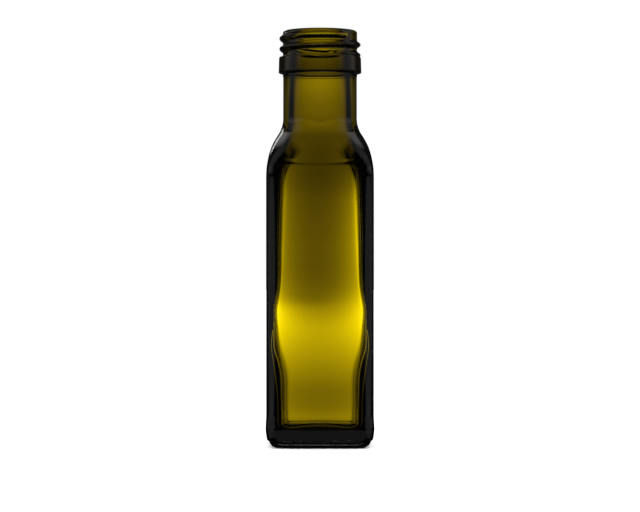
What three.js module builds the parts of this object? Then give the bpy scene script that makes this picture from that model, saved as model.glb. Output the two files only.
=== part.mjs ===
// A small square bottle for oil, blown in one piece of dark olive glass, open and empty.
// Millimetres, +Z up, -Y is the front. The origin is the middle of the foot, on the ground.
//
// The whole bottle is one closed skin. A grid of rings runs from the middle of the foot up the
// outside, over the lip, down the inside and ends in the middle of the inner floor.

import * as THREE from 'three';

// Driving dimensions of the body
const HEIGHT = 150;
const BODY_HALF = 19.2;          // half of the width over the flat panels
const BODY_ROUNDNESS = 0.235;    // corner radius of the body as a share of its half width
const HEEL_SWELL = 0.23;         // how far the heel stands proud of the panels
const HEEL_SWELL_Z = 6.8;
const HEEL_SWELL_REACH = 5;      // the swell fades out over this height, and over half of it below
const HEEL_TUCK = 0.4;           // how far the body draws in again just above its foot
const PLATE_Z = 2.75;            // the mould's bottom plate meets its halves here, in a small step
const PLATE_HALF = 18.2;
const PLATE_RADIUS = 3.1;        // rounding of the foot's edge
const RING_WIDTH = 2.6;          // the flat ring that the bottle stands on
const PUSH_UP = 1.5;             // how far the foot's middle is domed up

// Shoulder, as three arcs from the neck outwards: one hollow and two full
const NECK_RADIUS = 13.35;
const SHOULDER_TOP_Z = 118.4;
const SHOULDER_STEEPEST = 33;    // degrees from upright, where the hollow arc meets the first full one
const SHOULDER_EASY = 12;        // degrees from upright, where the two full arcs meet
const HOLLOW_RADIUS = 11.5;
const SHOULDER_RADIUS = 22.3;
const SQUARE_BELOW_Z = 98;       // the section is as square as the body's up to here
const ROUND_ABOVE_Z = 117;       // and a true circle from here

// Finish: the band under the collar, the collar, the threaded stretch and the lip
const ROOT_RADIUS = 13.45;
const SEAM_Z = 133.3;
const COLLAR_Z = 134.75;
const COLLAR_RADIUS = 15;
const COLLAR_DRAFT = 0.15;
const COLLAR_TOP_Z = 140.7;
const COLLAR_ROUND = 0.7;
const UNDERCUT = 0.5;            // the collar's underside slopes up this much towards its rim
const LIP_ROUND = 0.8;
const MOUTH_RADIUS = 10.9;

// Thread: one raised right-handed bead that starts at the right of the front
const THREAD_START = 48;         // degrees to the right of the front
const THREAD_TURN = 760;         // degrees from its start to its end
const THREAD_START_Z = 147.9;
const THREAD_PITCH = 3.77;
const THREAD_LEAN = 0.17;        // how much higher it runs at the left and lower at the right
const THREAD_EASE = 110;         // degrees over which the level start takes up its full lead
const THREAD_HEIGHT = 1.25;
const THREAD_HALF = 1.1;         // half of the bead's width at its root
const THREAD_RISE = 14;          // degrees over which it comes up out of the wall
const THREAD_FADE = 70;          // degrees over which it sinks into the wall and the collar

// Inside of the neck, a little oval: its radius across, and from front to back
const BORE_STATIONS = [
  { z: 116, across: 9.8, deep: 9.8 },
  { z: 119, across: 9.75, deep: 9.55 },
  { z: 132, across: 9.8, deep: 10.4 },
  { z: 138, across: 10.3, deep: 10.35 },
  { z: 147, across: 10.75, deep: 10.75 },
];

// Inside of the body. The gather touched the middle of each panel first, so the glass is thick
// there and thin towards the corners, and it settled in a wave a third of the way up.
//   face, side: wall at the middle of a front or side panel
//   faceBow, sideBow: how much further out the hollow reaches beside its corners
//   roundness: corner radius of the hollow as a share of its half width
//   slant: how much the front and back thin for each millimetre to the right
const WALL_STATIONS = [
  { z: 9, face: 2.87, side: 4.2, faceBow: 0.45, sideBow: 0.65, roundness: 0.33, slant: 0 },
  { z: 17, face: 3.4, side: 4.4, faceBow: 0.65, sideBow: 1.1, roundness: 0.33, slant: 0 },
  { z: 26, face: 2.76, side: 3.75, faceBow: 0.55, sideBow: 1.15, roundness: 0.36, slant: 0 },
  { z: 36, face: 2.18, side: 4, faceBow: 1.05, sideBow: 3, roundness: 0.285, slant: 0 },
  { z: 43, face: 2.06, side: 4.5, faceBow: 1.55, sideBow: 2.8, roundness: 0.195, slant: 0 },
  { z: 50, face: 2.6, side: 4.85, faceBow: 2.65, sideBow: 3.1, roundness: 0.185, slant: 0 },
  { z: 59, face: 3.8, side: 6.1, faceBow: 3.1, sideBow: 2.8, roundness: 0.172, slant: 0.027 },
  { z: 74, face: 4.04, side: 4.93, faceBow: 3.3, sideBow: 1.6, roundness: 0.26, slant: 0.038 },
  { z: 89, face: 4.4, side: 4.87, faceBow: 3.45, sideBow: 0.9, roundness: 0.27, slant: 0.035 },
  { z: 99.5, face: 4.9, side: 5.1, faceBow: 2.9, sideBow: 0.85, roundness: 0.3, slant: 0.02 },
  { z: 105, face: 5, side: 5, faceBow: 1.5, sideBow: 0.65, roundness: 0.5, slant: 0 },
  { z: 110, face: 4.9, side: 4.9, faceBow: 0.4, sideBow: 0.3, roundness: 0.8, slant: 0 },
  { z: 116, face: 3.72, side: 3.72, faceBow: 0, sideBow: 0, roundness: 1, slant: 0 },
];
const WALL_FIELDS = ['face', 'side', 'faceBow', 'sideBow', 'roundness', 'slant'];
const FLOOR_Z = 6.8;             // inner floor at the foot of the walls
const FLOOR_FILLET = 2.2;
const FLOOR_SHARE = 0.864;       // the floor's width inside its fillets, as a share of the hollow's
const FLOOR_DOME = 0.9;          // the floor's middle stands higher by this
const FLOOR_CORNER_DROP = 0.6;   // and its corners lie lower by this

// How finely the skin is divided
const COLUMNS = 48;
const CORNER_CROWDING = 0.62;    // share of the columns' spacing that moves to the body's corners
const THREAD_ROW = 0.55;
const PUSH_UP_SHARES = [0.4, 0.75];
const PLATE_ROWS = [0.15, 0.7, 1.6, 2.65];
const HEEL_ROWS = [PLATE_Z, 3.5, 4.6, 5.7, HEEL_SWELL_Z, 8.2, 10, 12, 60];
const ARC_TURNS = [0, 45, 90];   // degrees round the collar's top edge, the lip and the fillet
const BORE_ROWS = [144, 138, 132, 126, 119];
const BODY_ROWS = [96, 89, 81, 74, 66, 59];
const LOW_ROWS = [17, 13, 10];
const FLOOR_SHARES = [0.7, 0.35];

const degrees = THREE.MathUtils.degToRad;
const clamp = THREE.MathUtils.clamp;
const smooth = (low, high, z) => THREE.MathUtils.smoothstep(z, low, high);

// Slope of one field at a station: the straight slope between its neighbours, level at both ends
function slopeAt(stations, field, i) {
  if (i === 0 || i === stations.length - 1) return 0;
  const [before, after] = [stations[i - 1], stations[i + 1]];
  return (after[field] - before[field]) / (after.z - before.z);
}

// Value of one field at a height, on a smooth curve through its stations: each span is a cubic
// that leaves and meets its stations with their slopes
function atStations(stations, field, z) {
  const held = clamp(z, stations[0].z, stations.at(-1).z);
  const span = Math.max(0, stations.findLastIndex((station) => station.z < held));
  const [low, high] = [stations[span], stations[span + 1]];
  const long = high.z - low.z;
  const t = (held - low.z) / long;
  const rise = high[field] - low[field];
  const swing = slopeAt(stations, field, span) * (1 - t) - slopeAt(stations, field, span + 1) * t;
  return low[field] + rise * t * t * (3 - 2 * t) + t * (1 - t) * long * swing;
}

// Half width of the shoulder at a height: the three arcs, each tangent to the next
function shoulderHalf(z) {
  const steep = degrees(SHOULDER_STEEPEST);
  const easy = degrees(SHOULDER_EASY);
  const hollowDrop = HOLLOW_RADIUS * Math.sin(steep);
  const fullDrop = SHOULDER_RADIUS * (Math.sin(steep) - Math.sin(easy));
  const down = SHOULDER_TOP_Z - z;
  const hollowOut = HOLLOW_RADIUS * (1 - Math.cos(steep));
  const fullOut = SHOULDER_RADIUS * (Math.cos(easy) - Math.cos(steep));
  if (down <= 0) return NECK_RADIUS;
  if (down < hollowDrop) {
    return NECK_RADIUS + HOLLOW_RADIUS - Math.sqrt(HOLLOW_RADIUS ** 2 - down ** 2);
  }
  if (down < hollowDrop + fullDrop) {
    const sine = Math.sin(steep) - (down - hollowDrop) / SHOULDER_RADIUS;
    const out = SHOULDER_RADIUS * (Math.sqrt(1 - sine ** 2) - Math.cos(steep));
    return NECK_RADIUS + hollowOut + out;
  }
  // The last arc's radius is the one that ends upright at the body's half width
  const left = BODY_HALF - NECK_RADIUS - hollowOut - fullOut;
  const lastRadius = left / (1 - Math.cos(easy));
  const sine = Math.sin(easy) - (down - hollowDrop - fullDrop) / lastRadius;
  if (sine <= 0) return BODY_HALF;
  return BODY_HALF - lastRadius * (1 - Math.sqrt(1 - sine ** 2));
}

// Half width of the body near its foot: the swell of the heel, then a slight tuck above the plate
function heelChange(z) {
  const above = (z - HEEL_SWELL_Z) / HEEL_SWELL_REACH;
  const below = (HEEL_SWELL_Z - z) / (HEEL_SWELL_REACH / 2);
  const far = clamp(z > HEEL_SWELL_Z ? above : below, 0, 1);
  const swell = HEEL_SWELL * Math.cos(far * Math.PI / 2) ** 2;
  const tuck = HEEL_TUCK * clamp(1 - (z - PLATE_Z) / (HEEL_SWELL_REACH / 2), 0, 1) ** 2;
  return swell - tuck;
}

// Half width of the foot's rounded edge at a height
function plateHalf(z) {
  const centre = PLATE_HALF - PLATE_RADIUS;
  const drop = clamp(1 - z / PLATE_RADIUS, 0, 1);
  return centre + PLATE_RADIUS * Math.sqrt(1 - drop ** 2);
}

// Height of the thread's bead over the wall, at degrees to the right of the front and a height
function threadBead(side, z) {
  let bead = 0;
  const first = THREE.MathUtils.euclideanModulo(THREAD_START - side, 360);
  for (let turned = first; turned < THREAD_TURN; turned += 360) {
    const eased = turned < THREAD_EASE
      ? turned ** 2 / (2 * THREAD_EASE)
      : turned - THREAD_EASE / 2;
    const lean = THREAD_LEAN * Math.sin(degrees(side));
    const off = (z - THREAD_START_Z + THREAD_PITCH * eased / 360 + lean) / THREAD_HALF;
    const rise = smooth(0, THREAD_RISE, turned);
    const fade = 1 - smooth(THREAD_TURN - THREAD_FADE, THREAD_TURN, turned);
    bead = Math.max(bead, THREAD_HEIGHT * rise * fade * Math.max(0, 1 - off ** 2));
  }
  return bead;
}

// Distance from the axis to a rectangle with rounded corners, along an angle
function roundedRadius(angle, halfX, halfY, corner) {
  const c = Math.abs(Math.cos(angle));
  const s = Math.abs(Math.sin(angle));
  const centreX = halfX - corner;
  const centreY = halfY - corner;
  if (halfX * s <= centreY * c) return halfX / c;
  if (halfY * c <= centreX * s) return halfY / s;
  const along = centreX * c + centreY * s;
  return along + Math.sqrt(along ** 2 - centreX ** 2 - centreY ** 2 + corner ** 2);
}

// Angle of a column: evenly spaced on the round neck, crowded at the corners of the square body
function columnAngle(column, squareness) {
  const even = 2 * Math.PI * (column + 0.5) / COLUMNS;
  return even + squareness * CORNER_CROWDING * Math.sin(4 * even) / 4;
}

// A ring of the outside: square below, round above, with the thread on it where asked. Inside the
// foot the rings grow round towards the middle: share is how far out they lie.
function outerRing(z, half, { threaded = false, share = 1 } = {}) {
  const squareness = 1 - smooth(SQUARE_BELOW_Z, ROUND_ABOVE_Z, z);
  const corner = half * THREE.MathUtils.lerp(1, BODY_ROUNDNESS, squareness * share);
  const ring = [];
  for (let column = 0; column < COLUMNS; column++) {
    const angle = columnAngle(column, squareness);
    const side = THREE.MathUtils.radToDeg(angle) + 90;
    const bead = threaded ? threadBead(side, z) : 0;
    const radius = roundedRadius(angle, half, half, corner) + bead;
    ring.push(new THREE.Vector3(radius * Math.cos(angle), radius * Math.sin(angle), z));
  }
  return ring;
}

// A ring of the inside at a height: rounded rectangle whose faces bow in at their middles. On the
// floor it is scaled by share, and lift gives the height along it.
function innerRing(z, share = 1, lift = () => z) {
  const squareness = 1 - smooth(SQUARE_BELOW_Z, ROUND_ABOVE_Z, z);
  const wall = Object.fromEntries(WALL_FIELDS.map(
    (field) => [field, atStations(WALL_STATIONS, field, z)]));
  const round = z >= WALL_STATIONS.at(-1).z;
  const body = Math.min(shoulderHalf(z), BODY_HALF);
  const halfX = round ? atStations(BORE_STATIONS, 'across', z) : body - wall.side + wall.sideBow;
  const halfY = round ? atStations(BORE_STATIONS, 'deep', z) : body - wall.face + wall.faceBow;
  const corner = Math.min(halfX, halfY) * wall.roundness;
  const ring = [];
  for (let column = 0; column < COLUMNS; column++) {
    const angle = columnAngle(column, squareness);
    const radius = roundedRadius(angle, halfX, halfY, corner);
    const u = radius * Math.cos(angle) / halfX;
    const v = radius * Math.sin(angle) / halfY;
    const x = u * halfX - wall.sideBow * (1 - v ** 2) * u ** 3;
    const y = v * halfY - (wall.faceBow * (1 - u ** 2) - wall.slant * x) * v ** 3;
    ring.push(new THREE.Vector3(share * x, share * y, lift(angle)));
  }
  return ring;
}

// Heights from one to another in equal steps, without the last one
function steps(from, to, count) {
  return Array.from({ length: count }, (_, i) => from + (to - from) * i / count);
}

// Rings of the outside, from the edge of the push-up to the rim of the lip
function outerRings() {
  const rings = [];
  const ringOut = PLATE_HALF - PLATE_RADIUS;
  const ringIn = ringOut - RING_WIDTH;
  for (const share of PUSH_UP_SHARES) {
    rings.push(outerRing(PUSH_UP * (1 - share ** 2), ringIn * share, { share }));
  }
  rings.push(outerRing(0, ringIn), outerRing(0, ringOut));
  for (const z of PLATE_ROWS) rings.push(outerRing(z, plateHalf(z)));
  for (const z of HEEL_ROWS) {
    rings.push(outerRing(z, BODY_HALF + heelChange(z)));
  }
  for (const z of steps(SQUARE_BELOW_Z - 3, SHOULDER_TOP_Z, 12)) {
    rings.push(outerRing(z, shoulderHalf(z)));
  }
  for (const z of [SHOULDER_TOP_Z, SEAM_Z - 0.1]) rings.push(outerRing(z, NECK_RADIUS));
  rings.push(outerRing(SEAM_Z + 0.1, ROOT_RADIUS));
  rings.push(outerRing(COLLAR_Z - UNDERCUT, ROOT_RADIUS));
  rings.push(outerRing(COLLAR_Z, COLLAR_RADIUS));
  const collarTop = COLLAR_RADIUS - COLLAR_DRAFT;
  for (const turn of ARC_TURNS) {
    const out = collarTop - COLLAR_ROUND * (1 - Math.cos(degrees(turn)));
    const z = COLLAR_TOP_Z - COLLAR_ROUND * (1 - Math.sin(degrees(turn)));
    rings.push(outerRing(z, out));
  }
  const rootZ = COLLAR_TOP_Z + 0.15;
  const lipZ = HEIGHT - LIP_ROUND;
  const rows = Math.round((lipZ - rootZ) / THREAD_ROW);
  for (const z of steps(rootZ, lipZ, rows)) {
    rings.push(outerRing(z, ROOT_RADIUS, { threaded: true }));
  }
  for (const turn of ARC_TURNS) {
    const out = ROOT_RADIUS - LIP_ROUND * (1 - Math.cos(degrees(turn)));
    rings.push(outerRing(HEIGHT - LIP_ROUND * (1 - Math.sin(degrees(turn))), out));
  }
  return rings;
}

// Rings of the inside, from the rim of the lip down to the floor
function innerRings() {
  const rings = [];
  for (const turn of ARC_TURNS.toReversed()) {
    const out = MOUTH_RADIUS + LIP_ROUND * (1 - Math.cos(degrees(turn)));
    rings.push(outerRing(HEIGHT - LIP_ROUND * (1 - Math.sin(degrees(turn))), out));
  }
  const shoulderRows = steps(116, 98, 9);
  const waveRows = steps(55, 18, 9);
  for (const z of [...BORE_ROWS, ...shoulderRows, ...BODY_ROWS, ...waveRows, ...LOW_ROWS]) {
    rings.push(innerRing(z));
  }
  for (const turn of ARC_TURNS) {
    const out = 1 - (1 - FLOOR_SHARE) * (1 - Math.cos(degrees(turn)));
    const z = FLOOR_Z + FLOOR_FILLET * (1 - Math.sin(degrees(turn)));
    rings.push(innerRing(z, out, floorLift(z, Math.sin(degrees(turn)))));
  }
  for (const share of FLOOR_SHARES) {
    const z = FLOOR_Z + FLOOR_DOME * (1 - share ** 2);
    rings.push(innerRing(FLOOR_Z, FLOOR_SHARE * share, floorLift(z, share ** 2)));
  }
  return rings;
}

// Height along a ring of the floor, whose corners lie lower
function floorLift(z, weight) {
  return (angle) => z - FLOOR_CORNER_DROP * weight * Math.sin(2 * angle) ** 2;
}

// Joins the rings into one closed skin, with a fan at each end
function skin(rings, firstMiddle, lastMiddle) {
  const points = [firstMiddle, ...rings.flat(), lastMiddle];
  const index = [];
  const at = (ring, column) => 1 + ring * COLUMNS + column % COLUMNS;
  for (let column = 0; column < COLUMNS; column++) {
    index.push(0, at(0, column + 1), at(0, column));
    for (let ring = 0; ring + 1 < rings.length; ring++) {
      const [a, b] = [at(ring, column), at(ring, column + 1)];
      const [c, d] = [at(ring + 1, column + 1), at(ring + 1, column)];
      index.push(a, b, c, a, c, d);
    }
    const last = rings.length - 1;
    index.push(points.length - 1, at(last, column), at(last, column + 1));
  }
  const geometry = new THREE.BufferGeometry();
  geometry.setFromPoints(points);
  geometry.setIndex(index);
  geometry.computeVertexNormals();
  return geometry;
}

const footMiddle = new THREE.Vector3(0, 0, PUSH_UP);
const floorMiddle = new THREE.Vector3(0, 0, FLOOR_Z + FLOOR_DOME);
const glass = new THREE.MeshStandardMaterial({
  color: '#5b4d06',
  roughness: 0.05,
  metalness: 0,
});
const bottle = new THREE.Mesh(
  skin([...outerRings(), ...innerRings()], footMiddle, floorMiddle), glass);
bottle.name = 'bottle_glass';

const part = new THREE.Group();
part.add(bottle);

export default part;
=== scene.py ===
"""Looks of a small square oil bottle, blown in one piece of dark olive glass, open and empty.

The bottle is one closed skin. A grid of rings runs from the middle of the foot up the outside,
over the lip, down the inside and ends in the middle of the inner floor. Each part of the bottle
gives its own stretch of rings, and sizes are in millimetres until the mesh is made.
"""

import logging
import math
from dataclasses import dataclass, field
from enum import Enum

import bpy
import numpy as np
from mathutils import Matrix, Vector


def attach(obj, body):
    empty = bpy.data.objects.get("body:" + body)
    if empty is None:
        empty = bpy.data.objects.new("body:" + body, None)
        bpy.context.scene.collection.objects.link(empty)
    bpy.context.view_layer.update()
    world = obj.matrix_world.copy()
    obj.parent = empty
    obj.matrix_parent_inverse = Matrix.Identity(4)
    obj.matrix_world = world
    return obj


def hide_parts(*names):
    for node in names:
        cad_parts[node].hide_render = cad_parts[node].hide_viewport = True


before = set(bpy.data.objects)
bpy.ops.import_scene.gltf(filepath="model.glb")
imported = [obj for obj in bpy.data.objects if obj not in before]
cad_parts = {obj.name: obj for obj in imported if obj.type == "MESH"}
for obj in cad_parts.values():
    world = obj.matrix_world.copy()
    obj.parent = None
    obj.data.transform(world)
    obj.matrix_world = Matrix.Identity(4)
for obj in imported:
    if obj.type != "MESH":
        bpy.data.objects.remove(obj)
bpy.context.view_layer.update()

MM = 0.001
TINY = 1e-9
NODE = "bottle_glass"
BODY = "root"

# Driving sizes, which several parts share
PANEL_HALF = 19.2
PLATE_Z = 2.75
PANEL_TOP_Z = 95.0
NECK_FOOT_Z = 118.4
NECK_RADIUS = 13.35
HEIGHT = 150.0

log = logging.getLogger("oil_bottle")


class Ray(Enum):
    """The kinds of ray that a sheet can be hidden from, by Blender's own names."""

    CAMERA = "camera"
    DIFFUSE = "diffuse"
    GLOSSY = "glossy"
    TRANSMISSION = "transmission"
    VOLUME_SCATTER = "volume_scatter"
    SHADOW = "shadow"


def ease(low: float, high: float, value: np.ndarray) -> np.ndarray:
    """Smooth step from 0 at low to 1 at high: three squares less two cubes of the way.

    Args:
        low: where the step starts.
        high: where it ends.
        value: the places asked for.

    Returns:
        The step's height at each place.
    """
    way = np.clip((np.asarray(value, float) - low) / (high - low), 0.0, 1.0)
    return way * way * (3.0 - 2.0 * way)


def mix(first: np.ndarray, second: np.ndarray, share: np.ndarray) -> np.ndarray:
    """Straight blend from first to second by share."""
    return first + (second - first) * share


def add_node(
    tree: bpy.types.NodeTree, kind: str, plain: dict[str | int, object] | None = None
) -> bpy.types.Node:
    """Adds a node and sets its plain sockets.

    Args:
        tree: where the node goes.
        kind: Blender's name for the kind of node.
        plain: the value of each socket that is set, by its name or number.

    Returns:
        The node.
    """
    made = tree.nodes.new(kind)
    for socket, value in (plain or {}).items():
        made.inputs[socket].default_value = value
    return made


def empty_material(name: str) -> tuple[bpy.types.Material, bpy.types.NodeTree, bpy.types.Node]:
    """A node material with nothing in it but its output.

    Args:
        name: what it is called.

    Returns:
        The material, its nodes and the output node.
    """
    made = bpy.data.materials.new(name)
    made.use_nodes = True
    made.node_tree.nodes.clear()
    return made, made.node_tree, add_node(made.node_tree, "ShaderNodeOutputMaterial")


def rounded_radius(
    angle: np.ndarray, half_x: np.ndarray, half_y: np.ndarray, corner: np.ndarray
) -> np.ndarray:
    """Distance from the axis to a rectangle with rounded corners, along an angle.

    A flat side lies at its half width over the cosine or sine of the angle. A corner is met
    where the ray leaves the circle round the corner's centre: the way along the ray to the
    centre's foot, and on from there by the circle's half chord.

    Args:
        angle: direction of each ray.
        half_x: half width across.
        half_y: half width front to back.
        corner: corner radius.

    Returns:
        The distance for each ray.
    """
    c, s = np.abs(np.cos(angle)), np.abs(np.sin(angle))
    centre_x, centre_y = half_x - corner, half_y - corner
    along = centre_x * c + centre_y * s
    chord = along**2 - centre_x**2 - centre_y**2 + corner**2
    radius = along + np.sqrt(np.maximum(chord, 0.0))
    radius = np.where(half_x * s <= centre_y * c, half_x / np.maximum(c, TINY), radius)
    return np.where(half_y * c <= centre_x * s, half_y / np.maximum(s, TINY), radius)


@dataclass(frozen=True)
class Columns:
    """The upright lines of the grid: even round the neck, crowded at the body's corners."""

    count: int = 180
    crowding: float = 0.62
    square_below: float = 98.0
    round_above: float = 117.0

    def squareness(self, z: np.ndarray) -> np.ndarray:
        """How square the section is at a height, from 1 on the body to 0 on the neck."""
        return 1.0 - ease(self.square_below, self.round_above, z)

    def angles(self, z: np.ndarray) -> np.ndarray:
        """Angle of each column on each ring: even steps plus a share of the sine of four times.

        Args:
            z: height of each ring.

        Returns:
            One row of angles for each ring.
        """
        even = 2.0 * np.pi * (np.arange(self.count) + 0.5) / self.count
        swing = self.crowding * np.sin(4.0 * even) / 4.0
        return even[None, :] + self.squareness(z)[:, None] * swing[None, :]


@dataclass
class Rings:
    """A stretch of rings: height, half width, and what is on them.

    A ring's share is 1 where its section is as square as the body's, and falls to 0 where the
    rings close in on the axis and grow round.
    """

    z: np.ndarray
    half: np.ndarray
    share: np.ndarray | None = None
    threaded: bool = False

    def __post_init__(self) -> None:
        """Rings are fully square unless they say otherwise."""
        if self.share is None:
            self.share = np.ones_like(self.z)


@dataclass(frozen=True)
class Foot:
    """The bottom plate's cast: push-up, standing ring and rounded edge."""

    plate_z: float = PLATE_Z
    plate_half: float = 18.2
    edge_radius: float = 3.1
    ring_width: float = 2.6
    push_up: float = 1.5
    joint_gap: float = 0.27
    flat_gap: float = 0.2
    first_share: float = 0.04
    rows_push_up: int = 16
    rows_flat: int = 3
    rows_edge: int = 18

    @property
    def ring_out(self) -> float:
        """Outer half width of the standing ring."""
        return self.plate_half - self.edge_radius

    @property
    def ring_in(self) -> float:
        """Inner half width of the standing ring."""
        return self.ring_out - self.ring_width

    def rings(self) -> list[Rings]:
        """The dome as a parabola, the flat ring, then a quarter circle up to the plate's joint.

        Returns:
            The stretches of rings from the middle outwards.
        """
        share = np.linspace(self.first_share, 1.0, self.rows_push_up)
        dome = Rings(self.push_up * (1.0 - share**2), self.ring_in * share, share)
        flat = Rings(
            np.zeros(self.rows_flat),
            np.linspace(self.ring_in + self.flat_gap, self.ring_out, self.rows_flat),
        )
        top = math.acos(1.0 - (self.plate_z - self.joint_gap) / self.edge_radius)
        turn = np.linspace(0.0, top, self.rows_edge + 1)[1:]
        edge = Rings(
            self.edge_radius * (1.0 - np.cos(turn)),
            self.ring_out + self.edge_radius * np.sin(turn),
        )
        return [dome, flat, edge]


@dataclass(frozen=True)
class Body:
    """The square body: four flat panels over a heel that swells and tucks in again."""

    half: float = PANEL_HALF
    roundness: float = 0.235
    swell: float = 0.23
    swell_z: float = 6.8
    swell_reach: float = 5.0
    tuck: float = 0.4
    joint_z: float = PLATE_Z
    joint_half: float = 18.15
    joint_spread: float = 0.22
    joint_share: float = 0.9
    heel_top: float = 12.0
    top_z: float = PANEL_TOP_Z
    rows_joint: int = 7
    rows_heel: int = 34
    rows_panel: int = 26

    def half_at(self, z: np.ndarray) -> np.ndarray:
        """Half width at a height: the panel, plus a squared cosine swell, less the tuck.

        Args:
            z: heights.

        Returns:
            Half widths.
        """
        above = (z - self.swell_z) / self.swell_reach
        below = (self.swell_z - z) / (self.swell_reach / 2.0)
        far = np.clip(np.where(z > self.swell_z, above, below), 0.0, 1.0)
        bulge = self.swell * np.cos(far * np.pi / 2.0) ** 2
        near = np.clip(1.0 - (z - self.joint_z) / (self.swell_reach / 2.0), 0.0, 1.0)
        return self.half + bulge - self.tuck * near**2

    def rings(self) -> list[Rings]:
        """Rings over the plate's joint, an eased step, and on up the heel and the panels.

        Returns:
            The stretches of rings, close together on the heel.
        """
        off = np.linspace(-self.joint_share, self.joint_share, self.rows_joint) * self.joint_spread
        upper = self.half_at(self.joint_z + self.joint_spread)
        joint = mix(self.joint_half, upper, ease(-self.joint_spread, self.joint_spread, off))
        heel = np.linspace(self.joint_z + self.joint_spread, self.heel_top, self.rows_heel)
        panel = np.linspace(self.heel_top, self.top_z, self.rows_panel)[1:-1]
        z = np.concatenate([heel, panel])
        return [Rings(self.joint_z + off, joint), Rings(z, self.half_at(z))]


@dataclass(frozen=True)
class Shoulder:
    """The shoulder: three arcs from the neck outwards, one hollow and two full."""

    neck: float = NECK_RADIUS
    body: float = PANEL_HALF
    top_z: float = NECK_FOOT_Z
    low_z: float = PANEL_TOP_Z
    steepest: float = math.radians(33.0)
    easy: float = math.radians(12.0)
    hollow_radius: float = 11.5
    full_radius: float = 22.3
    rows: int = 58

    def half_at(self, z: np.ndarray) -> np.ndarray:
        """Half width at a height, each arc a circle tangent to the next.

        Args:
            z: heights.

        Returns:
            Half widths.
        """
        down = self.top_z - np.asarray(z, float)
        hollow_drop = self.hollow_radius * math.sin(self.steepest)
        full_drop = self.full_radius * (math.sin(self.steepest) - math.sin(self.easy))
        hollow_out = self.hollow_radius * (1.0 - math.cos(self.steepest))
        full_out = self.full_radius * (math.cos(self.easy) - math.cos(self.steepest))
        left = self.body - self.neck - hollow_out - full_out
        last_radius = left / (1.0 - math.cos(self.easy))
        inside = np.clip(down, 0.0, hollow_drop)
        first = self.neck + self.hollow_radius - np.sqrt(self.hollow_radius**2 - inside**2)
        fallen = np.clip(down - hollow_drop, 0.0, full_drop)
        sine = math.sin(self.steepest) - fallen / self.full_radius
        second = self.full_radius * (np.sqrt(1.0 - sine**2) - math.cos(self.steepest))
        past = np.maximum(down - hollow_drop - full_drop, 0.0)
        sine = np.maximum(math.sin(self.easy) - past / last_radius, 0.0)
        third = last_radius * (np.sqrt(1.0 - sine**2) - math.cos(self.easy))
        return first + second + third

    def rings(self) -> list[Rings]:
        """Rings from the panels' top up to the neck."""
        z = np.linspace(self.low_z, self.top_z, self.rows)
        return [Rings(z, self.half_at(z))]


@dataclass(frozen=True)
class Thread:
    """One raised right-handed bead that starts at the right of the front."""

    start: float = 48.0
    turn: float = 760.0
    start_z: float = 147.9
    pitch: float = 3.77
    lean: float = 0.17
    ease_over: float = 110.0
    height: float = 1.25
    half_width: float = 1.6
    crest: float = 0.12
    rise: float = 14.0
    fade: float = 70.0

    def bead(self, angle: np.ndarray, z: np.ndarray) -> np.ndarray:
        """Height of the bead over the wall: level on its crest, with a smooth step down beside it.

        Its middle starts level and falls by the pitch each turn, once it has eased into it, and
        it leans a little down to the right. It rises out of the wall at its start and sinks back
        at its end.

        Args:
            angle: direction of each point.
            z: height of each point.

        Returns:
            How far each point stands out.
        """
        side = np.degrees(angle) + 90.0
        first = np.mod(self.start - side, 360.0)
        out = np.zeros_like(first)
        for extra in np.arange(0.0, self.turn, 360.0):
            turned = first + extra
            early = turned**2 / (2.0 * self.ease_over)
            eased = np.where(turned < self.ease_over, early, turned - self.ease_over / 2.0)
            lean = self.lean * np.sin(np.radians(side))
            off = (z - self.start_z + self.pitch * eased / 360.0 + lean) / self.half_width
            strength = ease(0.0, self.rise, turned)
            strength = strength * (1.0 - ease(self.turn - self.fade, self.turn, turned))
            bead = 1.0 - ease(self.crest, 1.0, np.abs(off))
            out = np.maximum(out, self.height * strength * bead)
        return out


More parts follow.
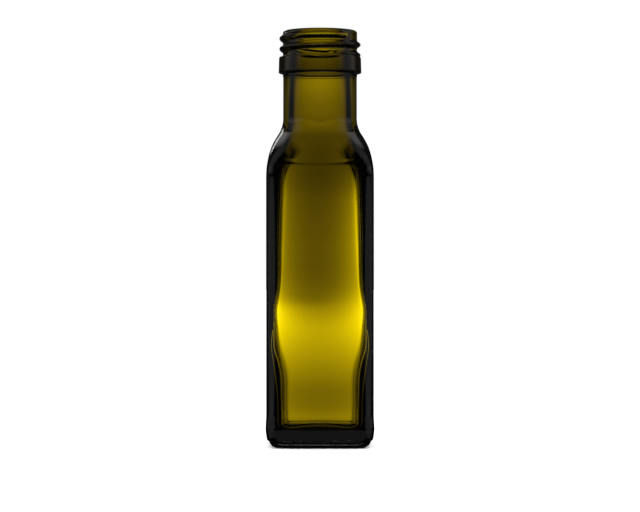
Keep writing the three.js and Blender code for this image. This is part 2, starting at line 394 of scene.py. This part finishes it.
@dataclass(frozen=True)
class Finish:
    """The neck and what is on it: band, collar, threaded wall and lip."""

    neck: float = NECK_RADIUS
    neck_low: float = NECK_FOOT_Z
    neck_gap: float = 0.12
    root: float = 13.45
    root_gap: float = 0.2
    seam_z: float = 133.3
    seam_half_step: float = 0.08
    collar_z: float = 134.75
    collar_radius: float = 15.0
    collar_draft: float = 0.15
    collar_top: float = 140.7
    collar_round: float = 0.7
    side_gap: float = 0.6
    undercut: float = 0.5
    under_drops: tuple[float, ...] = (-0.75, -0.4, -0.2, -0.1, 0.02, 0.08, 0.47)
    under_outs: tuple[float, ...] = (0.0, 0.0, 0.0, 0.0, 0.08, 0.3, 1.39)
    ledge_rises: tuple[float, ...] = (0.01, 0.03, 0.1)
    ledge_outs: tuple[float, ...] = (0.35, 0.12, 0.02)
    sharp: float = 0.16
    sharp_turns: tuple[float, ...] = (20.0, 45.0, 70.0, 90.0)
    round_start: float = 12.0
    lip_round: float = 0.8
    lip_start: float = 10.0
    height: float = HEIGHT
    mouth: float = 10.9
    rows_neck: int = 15
    rows_seam: int = 5
    rows_side: int = 6
    rows_round: int = 8
    rows_thread: int = 92
    rows_lip: int = 9
    thread: Thread = field(default_factory=Thread)

    def outside(self) -> list[Rings]:
        """Rings up the neck, over the seam and round the collar, past the thread and to the rim.

        Returns:
            The stretches of rings, from the neck's foot to the rim.
        """
        neck_z = np.linspace(self.neck_low, self.seam_z - self.neck_gap, self.rows_neck)[1:]
        neck = Rings(neck_z, np.full_like(neck_z, self.neck))
        step = np.linspace(-self.seam_half_step, self.seam_half_step, self.rows_seam)
        eased = ease(-self.seam_half_step, self.seam_half_step, step)
        seam = Rings(self.seam_z + step, mix(self.neck, self.root, eased))
        root_z = np.linspace(
            self.collar_top + self.root_gap, self.height - self.lip_round, self.rows_thread
        )
        root = Rings(root_z, np.full_like(root_z, self.root), threaded=True)
        return [neck, seam, *self.collar(), root, self.lip_edge()]

    def collar(self) -> list[Rings]:
        """The collar: hollowed underside, sharp lower edge, drafted side, rounded top and ledge.

        Returns:
            The stretches of rings, from its foot on the neck to the foot of the thread.
        """
        low = self.collar_z - self.undercut
        under = Rings(low + np.array(self.under_drops), self.root + np.array(self.under_outs))
        turn = np.radians(self.sharp_turns)
        rim = Rings(
            self.collar_z + self.sharp * (1.0 - np.cos(turn)),
            self.collar_radius - self.sharp * (1.0 - np.sin(turn)),
        )
        side_top = self.collar_top - self.collar_round
        side_z = np.linspace(self.collar_z + self.side_gap, side_top, self.rows_side)
        way = (side_z - self.collar_z) / (side_top - self.collar_z)
        side = Rings(side_z, self.collar_radius - self.collar_draft * way)
        turn = np.radians(np.linspace(self.round_start, 90.0, self.rows_round))
        top = Rings(
            self.collar_top - self.collar_round * (1.0 - np.sin(turn)),
            self.collar_radius - self.collar_draft - self.collar_round * (1.0 - np.cos(turn)),
        )
        ledge = Rings(
            self.collar_top + np.array(self.ledge_rises), self.root + np.array(self.ledge_outs)
        )
        return [under, rim, side, top, ledge]

    def lip_edge(self) -> Rings:
        """The lip's outer rounding, most of a quarter circle up to the rim."""
        turn = np.radians(np.linspace(self.lip_start, 90.0, self.rows_lip))
        return Rings(
            self.height - self.lip_round * (1.0 - np.sin(turn)),
            self.root - self.lip_round * (1.0 - np.cos(turn)),
        )

    def mouth_rings(self) -> list[Rings]:
        """The lip's inner rounding, a quarter circle from the rim into the mouth.

        Returns:
            The one stretch of rings.
        """
        turn = np.radians(np.linspace(90.0, 0.0, self.rows_lip))
        inward = Rings(
            self.height - self.lip_round * (1.0 - np.sin(turn)),
            self.mouth + self.lip_round * (1.0 - np.cos(turn)),
        )
        return [inward]


@dataclass(frozen=True)
class Wall:
    """How thick the glass is at one height, and how the hollow bows between its corners."""

    z: float
    face: float
    side: float
    face_bow: float
    side_bow: float
    roundness: float
    slant: float = 0.0


@dataclass(frozen=True)
class Bore:
    """Inner radius of the neck at one height, across and from front to back."""

    z: float
    across: float
    deep: float


@dataclass(frozen=True)
class Hollow:
    """The inside. The glass is thick at the panels' middles and thin beside them, with a wave."""

    # The walls up to 99.5 mm weren't chosen by hand. A scratch program fitted renders of the
    # bottle to the photograph's pixels, and these are its results, rounded. The one at 99.5 mm
    # was then moved a little, and the three above it are given one by one.
    walls: tuple[Wall, ...] = (
        Wall(9.0, 2.87, 4.2, 0.45, 0.65, 0.33),
        Wall(17.0, 3.4, 4.4, 0.65, 1.1, 0.33),
        Wall(26.0, 2.76, 3.75, 0.55, 1.15, 0.36),
        Wall(36.0, 2.18, 4.0, 1.05, 3.0, 0.285),
        Wall(43.0, 2.06, 4.5, 1.55, 2.8, 0.195),
        Wall(50.0, 2.6, 4.85, 2.65, 3.1, 0.185),
        Wall(59.0, 3.8, 6.1, 3.1, 2.8, 0.172, 0.027),
        Wall(74.0, 4.04, 4.93, 3.3, 1.6, 0.26, 0.038),
        Wall(89.0, 4.4, 4.87, 3.45, 0.9, 0.27, 0.035),
        Wall(99.5, 4.9, 5.1, 2.9, 0.85, 0.3, 0.02),
        Wall(105.0, 5.0, 5.0, 1.5, 0.65, 0.5, 0.0),
        Wall(110.0, 4.9, 4.9, 0.4, 0.3, 0.8),
        Wall(116.0, 3.72, 3.72, 0.0, 0.0, 1.0),
    )
    bores: tuple[Bore, ...] = (
        Bore(116.0, 9.8, 9.8),
        Bore(119.0, 9.75, 9.55),
        Bore(132.0, 9.8, 10.4),
        Bore(138.0, 9.65, 10.3),
        Bore(146.0, 9.85, 10.55),
    )
    crease_z: float = 101.4
    crease_height: float = 0.14
    crease_half: float = 1.1
    crease_smile: float = 0.9
    floor_z: float = 6.8
    fillet: float = 2.2
    dome: float = 0.9
    corner_drop: float = 0.6
    mouth_z: float = 148.9
    neck_z: float = 119.0
    shoulder_z: float = 103.0
    step_z: float = 100.0
    fillet_share: float = 0.136
    last_share: float = 0.05
    rows_neck: int = 46
    rows_shoulder: int = 38
    rows_step: int = 31
    rows_body: int = 98
    rows_fillet: int = 13
    rows_floor: int = 16

    @staticmethod
    def at(stations: tuple, name: str, z: np.ndarray) -> np.ndarray:
        """Value of one field at a height, on a smooth curve through its stations.

        Each span is a cubic that leaves and meets its stations with the straight slope between
        their neighbours, level at both ends.

        Args:
            stations: stations in order of height.
            name: which of their fields.
            z: heights.

        Returns:
            The field's value at each height.
        """
        places = np.array([station.z for station in stations])
        values = np.array([getattr(station, name) for station in stations])
        slopes = np.zeros_like(values)
        slopes[1:-1] = (values[2:] - values[:-2]) / (places[2:] - places[:-2])
        held = np.clip(z, places[0], places[-1])
        span = np.clip(np.searchsorted(places, held, side="right") - 1, 0, len(places) - 2)
        long = places[span + 1] - places[span]
        t = (held - places[span]) / long
        rise = values[span + 1] - values[span]
        bend = t * (1.0 - t) * long
        swing = slopes[span] * (1.0 - t) - slopes[span + 1] * t
        return values[span] + rise * t * t * (3.0 - 2.0 * t) + bend * swing

    def section(
        self, angle: np.ndarray, z: np.ndarray, body: np.ndarray
    ) -> tuple[np.ndarray, np.ndarray]:
        """Points of the hollow's section: a rounded rectangle whose sides bow inwards.

        A side's middle is pressed in by its bow times one less the square of the way along it,
        fading towards the axis by the cube of the way out. A slant makes the front and back
        thinner on one hand than on the other, by the same amount for each step across. A faint
        crease crosses the front: a squared cosine that rises towards its ends.

        Args:
            angle: direction of each point, a row for each ring.
            z: height of each ring, as a column.
            body: outer half width at each ring, as a column.

        Returns:
            The points' x and y.
        """
        round_part = z >= self.walls[-1].z
        across = self.at(self.bores, "across", z)
        deep = self.at(self.bores, "deep", z)
        face_bow = self.at(self.walls, "face_bow", z)
        side_bow = self.at(self.walls, "side_bow", z)
        half_x = np.where(round_part, across, body - self.at(self.walls, "side", z) + side_bow)
        half_y = np.where(round_part, deep, body - self.at(self.walls, "face", z) + face_bow)
        corner = np.minimum(half_x, half_y) * self.at(self.walls, "roundness", z)
        radius = rounded_radius(angle, half_x, half_y, corner)
        u = radius * np.cos(angle) / half_x
        v = radius * np.sin(angle) / half_y
        x = u * half_x - side_bow * (1.0 - v**2) * u**3
        slant = self.at(self.walls, "slant", z)
        middle = self.crease_z + self.crease_smile * u**2
        off = np.clip(np.abs(z - middle) / self.crease_half, 0.0, 1.0)
        crease = self.crease_height * np.cos(off * np.pi / 2.0) ** 2 * (v < 0.0)
        y = v * half_y - (face_bow * (1.0 - u**2) + crease - slant * x) * v**3
        return x, y

    def heights(self) -> tuple[np.ndarray, np.ndarray, np.ndarray]:
        """Each inner ring's height, its scale, and its share of the floor's corner drop.

        The walls have a scale of 1. The fillet draws in by one less the cosine of its turn, and
        the floor is a dome that falls by the square of the way out.

        Returns:
            Height, scale and share of the drop, from the mouth to the floor's middle.
        """
        spans = (
            (self.mouth_z, self.neck_z, self.rows_neck),
            (self.neck_z, self.shoulder_z, self.rows_shoulder),
            (self.shoulder_z, self.step_z, self.rows_step),
            (self.step_z, self.floor_z + self.fillet, self.rows_body),
        )
        walls = [np.linspace(*span) for span in spans]
        wall_z = np.concatenate([walls[0]] + [wall[1:] for wall in walls[1:]])
        turn = np.radians(np.linspace(0.0, 90.0, self.rows_fillet))[1:]
        fillet_z = self.floor_z + self.fillet * (1.0 - np.sin(turn))
        fillet_scale = 1.0 - self.fillet_share * (1.0 - np.cos(turn))
        share = np.linspace(1.0, self.last_share, self.rows_floor)[1:]
        floor_z = self.floor_z + self.dome * (1.0 - share**2)
        z = np.concatenate([wall_z, fillet_z, floor_z])
        floor_scale = (1.0 - self.fillet_share) * share
        scale = np.concatenate([np.ones_like(wall_z), fillet_scale, floor_scale])
        weight = np.concatenate([np.zeros_like(wall_z), np.sin(turn), share**2])
        return z, scale, weight


@dataclass(frozen=True)
class OliveGlass:
    """Dark olive bottle glass: what it absorbs on the way through, and its moulded surface."""

    absorbed_per_mm: tuple[float, float, float] = (0.395, 0.413, 3.0)
    skin_tint: tuple[float, float, float] = (1.0, 0.885, 0.7)
    refraction: float = 1.52
    polish: float = 0.0
    haze: float = 0.004
    cloud_size: float = 90.0
    cloud_detail: float = 3.0
    cloud_low: float = 0.35
    cloud_high: float = 0.75
    peel_size: float = 120.0
    peel_detail: float = 2.0
    peel_strength: float = 0.5
    peel_height: float = 0.000004

    def material(self) -> bpy.types.Material:
        """Clear glass over a volume that absorbs most of the blue and some of the rest.

        The volume's density is the largest absorption, and its colour is what passes of each
        part beside that one.

        Returns:
            The material.
        """
        made, tree, out = empty_material("olive_glass")
        skin = {
            "Base Color": (*self.skin_tint, 1.0),
            "IOR": self.refraction,
            "Transmission Weight": 1.0,
        }
        glass = add_node(tree, "ShaderNodeBsdfPrincipled", skin)
        place = add_node(tree, "ShaderNodeTexCoord")
        tree.links.new(self.haze_in(tree, place), glass.inputs["Roughness"])
        tree.links.new(self.peel_in(tree, place), glass.inputs["Normal"])
        tree.links.new(glass.outputs["BSDF"], out.inputs["Surface"])
        most = max(self.absorbed_per_mm)
        passed = [1.0 - part / most for part in self.absorbed_per_mm]
        volume = {"Color": (*passed, 1.0), "Density": most / MM}
        depth = add_node(tree, "ShaderNodeVolumeAbsorption", volume)
        tree.links.new(depth.outputs["Volume"], out.inputs["Volume"])
        return made

    def haze_in(self, tree: bpy.types.NodeTree, place: bpy.types.Node) -> bpy.types.NodeSocket:
        """Patches of faint haze on the polish.

        Args:
            tree: where the nodes go.
            place: the node that gives each point's place.

        Returns:
            The roughness.
        """
        size = {"Scale": self.cloud_size, "Detail": self.cloud_detail}
        cloud = add_node(tree, "ShaderNodeTexNoise", size)
        tree.links.new(place.outputs["Object"], cloud.inputs["Vector"])
        span = {
            "From Min": self.cloud_low,
            "From Max": self.cloud_high,
            "To Min": self.polish,
            "To Max": self.haze,
        }
        haze = add_node(tree, "ShaderNodeMapRange", span)
        tree.links.new(cloud.outputs["Fac"], haze.inputs["Value"])
        return haze.outputs["Result"]

    def peel_in(self, tree: bpy.types.NodeTree, place: bpy.types.Node) -> bpy.types.NodeSocket:
        """The slight unevenness of a moulded skin.

        Args:
            tree: where the nodes go.
            place: the node that gives each point's place.

        Returns:
            The normal.
        """
        size = {"Scale": self.peel_size, "Detail": self.peel_detail}
        peel = add_node(tree, "ShaderNodeTexNoise", size)
        tree.links.new(place.outputs["Object"], peel.inputs["Vector"])
        rise = {"Distance": self.peel_height, "Strength": self.peel_strength}
        bump = add_node(tree, "ShaderNodeBump", rise)
        tree.links.new(peel.outputs["Fac"], bump.inputs["Height"])
        return bump.outputs["Normal"]


@dataclass
class Bottle:
    """The whole bottle, put together from the rings of its parts into one skin."""

    columns: Columns = field(default_factory=Columns)
    foot: Foot = field(default_factory=Foot)
    body: Body = field(default_factory=Body)
    shoulder: Shoulder = field(default_factory=Shoulder)
    finish: Finish = field(default_factory=Finish)
    hollow: Hollow = field(default_factory=Hollow)
    glass: OliveGlass = field(default_factory=OliveGlass)

    def outside_points(self, stretches: list[Rings]) -> np.ndarray:
        """Points of outer rings: the section's radius at each angle, plus the thread's bead.

        Args:
            stretches: rings in order along the skin.

        Returns:
            An array of rings, columns and coordinates.
        """
        grids = []
        for rings in stretches:
            z = rings.z[:, None]
            angle = self.columns.angles(rings.z)
            square = self.columns.squareness(z) * rings.share[:, None]
            corner = rings.half[:, None] * mix(1.0, self.body.roundness, square)
            radius = rounded_radius(angle, rings.half[:, None], rings.half[:, None], corner)
            if rings.threaded:
                radius = radius + self.finish.thread.bead(angle, z)
            level = np.broadcast_to(z, radius.shape)
            grids.append(np.stack([radius * np.cos(angle), radius * np.sin(angle), level], 2))
        return np.concatenate(grids)

    def inside_points(self) -> np.ndarray:
        """Points of the inner rings, with the floor's corners lower than its middle.

        Returns:
            An array of rings, columns and coordinates.
        """
        z, scale, weight = self.hollow.heights()
        angle = self.columns.angles(z)
        body = self.shoulder.half_at(z)[:, None]
        wall_z = np.maximum(z, self.hollow.floor_z)[:, None]
        x, y = self.hollow.section(angle, wall_z, body)
        drop = self.hollow.corner_drop * weight[:, None] * np.sin(2.0 * angle) ** 2
        return np.stack([x * scale[:, None], y * scale[:, None], z[:, None] - drop], 2)

    def skin(self) -> tuple[np.ndarray, np.ndarray, np.ndarray]:
        """Every point of the skin, its quads between neighbouring rings, and its two end fans.

        Returns:
            Points, quads and triangles.
        """
        rings = np.concatenate(
            [
                self.outside_points(self.foot.rings()),
                self.outside_points(self.body.rings()),
                self.outside_points(self.shoulder.rings()),
                self.outside_points(self.finish.outside()),
                self.outside_points(self.finish.mouth_rings()),
                self.inside_points(),
            ]
        )
        rows, columns, _ = rings.shape
        foot_middle = [[0.0, 0.0, self.foot.push_up]]
        floor_middle = [[0.0, 0.0, self.hollow.floor_z + self.hollow.dome]]
        points = np.concatenate([foot_middle, rings.reshape(-1, 3), floor_middle])
        index = 1 + np.arange(rows * columns).reshape(rows, columns)
        beside = np.roll(index, -1, axis=1)
        quads = np.stack([index[:-1], beside[:-1], beside[1:], index[1:]], 2).reshape(-1, 4)
        first = np.stack([np.zeros(columns, int), beside[0], index[0]], 1)
        last = np.stack([np.full(columns, len(points) - 1), index[-1], beside[-1]], 1)
        return points, quads, np.concatenate([first, last])

    def build(self) -> bpy.types.Object:
        """Makes the mesh in metres, dresses it and puts it in the scene.

        Returns:
            The bottle's object.
        """
        points, quads, triangles = self.skin()
        mesh = bpy.data.meshes.new("bottle")
        mesh.from_pydata((points * MM).tolist(), [], quads.tolist() + triangles.tolist())
        mesh.polygons.foreach_set("use_smooth", np.ones(len(mesh.polygons), bool))
        mesh.update()
        mesh.materials.append(self.glass.material())
        bottle = bpy.data.objects.new("bottle", mesh)
        bpy.context.scene.collection.objects.link(bottle)
        return bottle


class Side(Enum):
    """The two sides of the bottle, by the sign of an angle to that side."""

    LEFT = -1.0
    RIGHT = 1.0


@dataclass(frozen=True)
class Card:
    """A lit card seen only as a mirror image: where its middle lies, its size and its glow.

    The middle is given from the bottle as the camera sees it: degrees to the right of straight
    behind, degrees up, and the distance. The roll turns the card to the left in its own plane, and
    the soft share of its half width is where it fades out.
    """

    name: str
    around: float
    up: float
    width: float
    height: float
    glow: float
    roll: float = 0.0
    soft: float = 0.65
    distance: float = 900.0


def pair(
    name: str,
    around: float,
    up: float,
    width: float,
    height: float,
    glow: float,
    soft: float = 0.65,
) -> tuple[Card, Card]:
    """Two cards alike, one at the left of the bottle and one at its right.

    Args:
        name: what they are called, with a gap for the side.
        around: degrees to either side of straight behind.
        up: degrees up.
        width: how wide each is.
        height: how high each is.
        glow: how bright each is.
        soft: the share of its half width where it fades out.

    Returns:
        The left card and the right one.
    """
    left, right = (
        Card(
            name.format(side.name.lower()), side.value * around, up, width, height, glow, soft=soft
        )
        for side in Side
    )
    return left, right


@dataclass(frozen=True)
class Studio:
    """Pale floor, camera, and a lit white panel that stays behind the bottle as it is turned.

    The photograph is of a bottle before a white panel in a dark room, cut out on white. So the
    room is white to the eye and to the floor, and dark to what the glass mirrors and bends. The
    panel is seen only through the glass, and the soft cards round the bottle only as mirror
    images.
    """

    distance: float = 780.0
    eye_z: float = 70.6
    horizon_px: float = 250.0
    frame_px: tuple[float, float] = (640.0, 512.0)
    focal_px: float = 2150.0
    sensor: float = 36.0
    panel_behind: float = 1000.0
    panel_half_angle: float = 32.5
    panel_top: float = 13.5
    panel_low: float = -34.0
    panel_glow: float = 3.0
    panel_edge: float = 0.2
    panel_side_edge: float = 0.3
    room_to_floor: float = 2.2
    room_in_gloss: float = 0.02
    room_through_glass: float = 0.01
    floor_size: float = 6000.0
    floor_pale: float = 0.9
    floor_rough: float = 0.9
    cards: tuple[Card, ...] = (
        Card("rear_left_card", -28.0, 25.5, 253.0, 253.0, 2.0),
        Card("high_left_card", -40.0, 41.0, 720.0, 190.0, 0.75, -52.0, 0.95),
        Card("high_right_card", 47.0, 47.0, 600.0, 220.0, 0.55, 52.0, 0.95),
        *pair("upper_{}_card", 84.0, 36.0, 1000.0, 1200.0, 0.22, soft=0.6),
        *pair("side_{}_card", 70.0, 7.0, 450.0, 600.0, 0.11),
        *pair("{}_card", 112.0, -2.5, 1620.0, 266.0, 0.25, soft=0.3),
        *pair("above_{}_card", 96.0, 18.0, 1300.0, 460.0, 0.22, soft=0.5),
        *pair("below_{}_card", 112.0, -18.0, 1620.0, 420.0, 0.22, soft=0.5),
        Card("low_front_card", 180.0, -27.0, 2100.0, 620.0, 0.14, soft=0.3),
        Card("low_card", 180.0, -70.0, 1500.0, 330.0, 1.0),
    )
    near_clip: float = 0.01
    far_clip: float = 50.0
    bounces: int = 24
    gloss_bounces: int = 12
    light_bounces: int = 16

    def camera(self) -> bpy.types.Object:
        """A level camera in front, at the photograph's distance and height.

        Returns:
            The camera.
        """
        data = bpy.data.cameras.new("camera")
        data.sensor_width = self.sensor
        data.lens = self.focal_px / self.frame_px[0] * self.sensor
        data.shift_y = (self.horizon_px - self.frame_px[1] / 2.0) / self.frame_px[0]
        data.clip_start = self.near_clip
        data.clip_end = self.far_clip
        camera = bpy.data.objects.new("camera", data)
        camera.location = Vector((0.0, -self.distance, self.eye_z)) * MM
        camera.rotation_euler = (math.radians(90.0), 0.0, 0.0)
        bpy.context.scene.collection.objects.link(camera)
        bpy.context.scene.camera = camera
        return camera

    @staticmethod
    def sheet(name: str, half_x: float, half_y: float) -> bpy.types.Object:
        """A flat rectangle about its own middle.

        Args:
            name: what it is called.
            half_x: half its width in metres.
            half_y: half its height in metres.

        Returns:
            The rectangle's object.
        """
        mesh = bpy.data.meshes.new(name)
        ways = ((-1, -1), (1, -1), (1, 1), (-1, 1))
        corners = [(way_x * half_x, way_y * half_y, 0.0) for way_x, way_y in ways]
        mesh.from_pydata(corners, [], [(0, 1, 2, 3)])
        made = bpy.data.objects.new(name, mesh)
        bpy.context.scene.collection.objects.link(made)
        return made

    @staticmethod
    def hide(sheet: bpy.types.Object, kinds: set[Ray]) -> None:
        """Hides a sheet from some kinds of ray.

        Args:
            sheet: what is hidden.
            kinds: the kinds of ray that no longer meet it.
        """
        for kind in kinds:
            setattr(sheet, "visible_" + kind.value, False)

    def panel(self, camera: bpy.types.Object) -> None:
        """The lit panel: a sheet that fades at its edges, carried by the camera.

        Args:
            camera: what carries it.
        """
        high, low, side = (
            self.panel_behind * math.tan(math.radians(angle)) / (1.0 - edge) * MM
            for angle, edge in (
                (self.panel_top, self.panel_edge),
                (self.panel_low, self.panel_edge),
                (self.panel_half_angle, self.panel_side_edge),
            )
        )
        panel = self.sheet("panel", side, (high - low) / 2.0)
        panel.parent = camera
        panel.location = (0.0, (high + low) / 2.0, -(self.distance + self.panel_behind) * MM)
        self.hide(panel, set(Ray) - {Ray.TRANSMISSION})
        panel.data.materials.append(self.panel_material(side, (high - low) / 2.0))

    def lit_cards(self, camera: bpy.types.Object) -> None:
        """Soft cards round the bottle, each turned to face it, carried by the camera.

        Args:
            camera: what carries them.
        """
        for card in self.cards:
            around, up = math.radians(card.around), math.radians(card.up)
            flat = math.cos(up)
            way = Vector((math.sin(around) * flat, math.sin(up), -math.cos(around) * flat))
            half_x, half_y = card.width / 2.0 * MM, card.height / 2.0 * MM
            sheet = self.sheet(card.name, half_x, half_y)
            sheet.parent = camera
            middle = Vector((0.0, 0.0, -self.distance)) + way * card.distance
            sheet.location = middle * MM
            level = Vector((0.0, 1.0, 0.0)).cross(-way).normalized()
            across = Matrix.Rotation(math.radians(card.roll), 3, -way) @ level
            upwards = (-way).cross(across)
            sheet.rotation_euler = Matrix((across, upwards, -way)).transposed().to_euler()
            self.hide(sheet, set(Ray) - {Ray.GLOSSY})
            sheet.data.materials.append(self.card_material(card, half_x, half_y))

    @staticmethod
    def shares(tree: bpy.types.NodeTree, half_x: float, half_y: float) -> bpy.types.NodeSocket:
        """How far out each point of a sheet lies, as shares of its half width and half height.

        Args:
            tree: where the nodes go.
            half_x: half the sheet's width in metres.
            half_y: half its height in metres.

        Returns:
            The shares, as a vector.
        """
        place = add_node(tree, "ShaderNodeTexCoord")
        share = add_node(tree, "ShaderNodeVectorMath", {1: (half_x, half_y, 1.0)})
        share.operation = "DIVIDE"
        tree.links.new(place.outputs["Object"], share.inputs[0])
        return share.outputs["Vector"]

    @staticmethod
    def fade(
        tree: bpy.types.NodeTree, share: bpy.types.NodeSocket, start: float, most: float
    ) -> bpy.types.NodeSocket:
        """A smooth step down to nothing at a share of 1.

        Args:
            tree: where the node goes.
            share: how far out each point lies.
            start: the share where the fade starts.
            most: the value before it.

        Returns:
            The faded value.
        """
        span = {"From Min": start, "From Max": 1.0, "To Min": most, "To Max": 0.0}
        step = add_node(tree, "ShaderNodeMapRange", span)
        step.interpolation_type = "SMOOTHSTEP"
        tree.links.new(share, step.inputs["Value"])
        return step.outputs["Result"]

    def card_material(self, card: Card, half_x: float, half_y: float) -> bpy.types.Material:
        """Glow that falls off smoothly from a card's middle to nothing at its oval edge.

        It is added to whatever lies behind the card, so cards may overlap.

        Args:
            card: the card.
            half_x: half its width in metres.
            half_y: half its height in metres.

        Returns:
            The material.
        """
        made, tree, out = empty_material(card.name)
        far = add_node(tree, "ShaderNodeVectorMath")
        far.operation = "LENGTH"
        tree.links.new(self.shares(tree, half_x, half_y), far.inputs[0])
        glow = add_node(tree, "ShaderNodeEmission")
        faded = self.fade(tree, far.outputs["Value"], 1.0 - card.soft, card.glow)
        tree.links.new(faded, glow.inputs["Strength"])
        clear = add_node(tree, "ShaderNodeBsdfTransparent")
        both = add_node(tree, "ShaderNodeAddShader")
        tree.links.new(glow.outputs["Emission"], both.inputs[0])
        tree.links.new(clear.outputs["BSDF"], both.inputs[1])
        tree.links.new(both.outputs["Shader"], out.inputs["Surface"])
        made.cycles.emission_sampling = "NONE"
        return made

    def panel_material(self, half_x: float, half_y: float) -> bpy.types.Material:
        """Even glow with soft edges, eased off across and upwards, the two eases multiplied.

        Args:
            half_x: half the panel's width in metres.
            half_y: half its height in metres.

        Returns:
            The material.
        """
        made, tree, out = empty_material("lit_panel")
        ways = add_node(tree, "ShaderNodeVectorMath")
        ways.operation = "ABSOLUTE"
        tree.links.new(self.shares(tree, half_x, half_y), ways.inputs[0])
        split = add_node(tree, "ShaderNodeSeparateXYZ")
        tree.links.new(ways.outputs["Vector"], split.inputs["Vector"])
        both = add_node(tree, "ShaderNodeMath")
        both.operation = "MULTIPLY"
        edges = (("X", self.panel_side_edge, self.panel_glow), ("Y", self.panel_edge, 1.0))
        for number, (axis, edge, most) in enumerate(edges):
            faded = self.fade(tree, split.outputs[axis], 1.0 - 2.0 * edge, most)
            tree.links.new(faded, both.inputs[number])
        glow = add_node(tree, "ShaderNodeEmission")
        tree.links.new(both.outputs["Value"], glow.inputs["Strength"])
        tree.links.new(glow.outputs["Emission"], out.inputs["Surface"])
        made.cycles.emission_sampling = "NONE"
        return made

    def room(self) -> None:
        """The room's own light: one strength for the floor, others for gloss and glass."""
        world = bpy.data.worlds.new("room")
        bpy.context.scene.world = world
        world.use_nodes = True
        tree = world.node_tree
        tree.nodes.clear()
        out = add_node(tree, "ShaderNodeOutputWorld")
        light = add_node(tree, "ShaderNodeBackground", {"Color": (1.0, 1.0, 1.0, 1.0)})
        path = add_node(tree, "ShaderNodeLightPath")
        mirrored = add_node(tree, "ShaderNodeMath")
        mirrored.operation = "MULTIPLY"
        tree.links.new(path.outputs["Is Glossy Ray"], mirrored.inputs[0])
        tree.links.new(path.outputs["Is Reflection Ray"], mirrored.inputs[1])
        strength = None
        changes = (
            (path.outputs["Is Camera Ray"], 1.0 - self.room_to_floor),
            (mirrored.outputs["Value"], self.room_in_gloss - self.room_to_floor),
            (path.outputs["Is Transmission Ray"], self.room_through_glass - self.room_to_floor),
        )
        for ray, change in changes:
            add = add_node(tree, "ShaderNodeMath", {1: change, 2: self.room_to_floor})
            add.operation = "MULTIPLY_ADD"
            tree.links.new(ray, add.inputs[0])
            if strength is not None:
                tree.links.new(strength, add.inputs[2])
            strength = add.outputs["Value"]
        tree.links.new(strength, light.inputs["Strength"])
        tree.links.new(light.outputs["Background"], out.inputs["Surface"])
        world.cycles.sampling_method = "NONE"

    def floor(self) -> None:
        """A wide pale floor that the glass neither mirrors nor shows through itself."""
        half = self.floor_size / 2.0 * MM
        floor = self.sheet("floor", half, half)
        self.hide(floor, {Ray.GLOSSY, Ray.TRANSMISSION})
        made, tree, out = empty_material("pale_floor")
        plain = {
            "Base Color": (*[self.floor_pale] * 3, 1.0),
            "Roughness": self.floor_rough,
            "Specular IOR Level": 0.0,
        }
        surface = add_node(tree, "ShaderNodeBsdfPrincipled", plain)
        tree.links.new(surface.outputs["BSDF"], out.inputs["Surface"])
        floor.data.materials.append(made)

    def render_settings(self) -> None:
        """Plain tones, and enough bounces for light to work through four walls of glass."""
        scene = bpy.context.scene
        scene.view_settings.view_transform = "Standard"
        scene.view_settings.look = "None"
        scene.cycles.max_bounces = self.bounces
        scene.cycles.min_light_bounces = self.light_bounces
        scene.cycles.transmission_bounces = self.bounces
        scene.cycles.glossy_bounces = self.gloss_bounces
        scene.cycles.use_denoising = True
        scene.cycles.denoising_input_passes = "RGB"
        scene.cycles.caustics_reflective = True
        scene.cycles.caustics_refractive = True
        scene.cycles.blur_glossy = 0.0

    def build(self) -> None:
        """Makes the camera, the lit panel, the cards, the room and the floor."""
        camera = self.camera()
        self.panel(camera)
        self.lit_cards(camera)
        self.room()
        self.floor()
        self.render_settings()


def main() -> None:
    """Builds the bottle and its studio."""
    logging.basicConfig(level=logging.INFO, format="%(name)s: %(message)s")
    bottle = Bottle().build()
    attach(bottle, BODY)
    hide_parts(NODE)
    log.info("bottle: %d points, %d faces", len(bottle.data.vertices), len(bottle.data.polygons))
    studio = Studio()
    studio.build()
    log.info("studio: camera, lit panel, %d cards, room and floor", len(studio.cards))


if __name__ == "__main__":
    main()
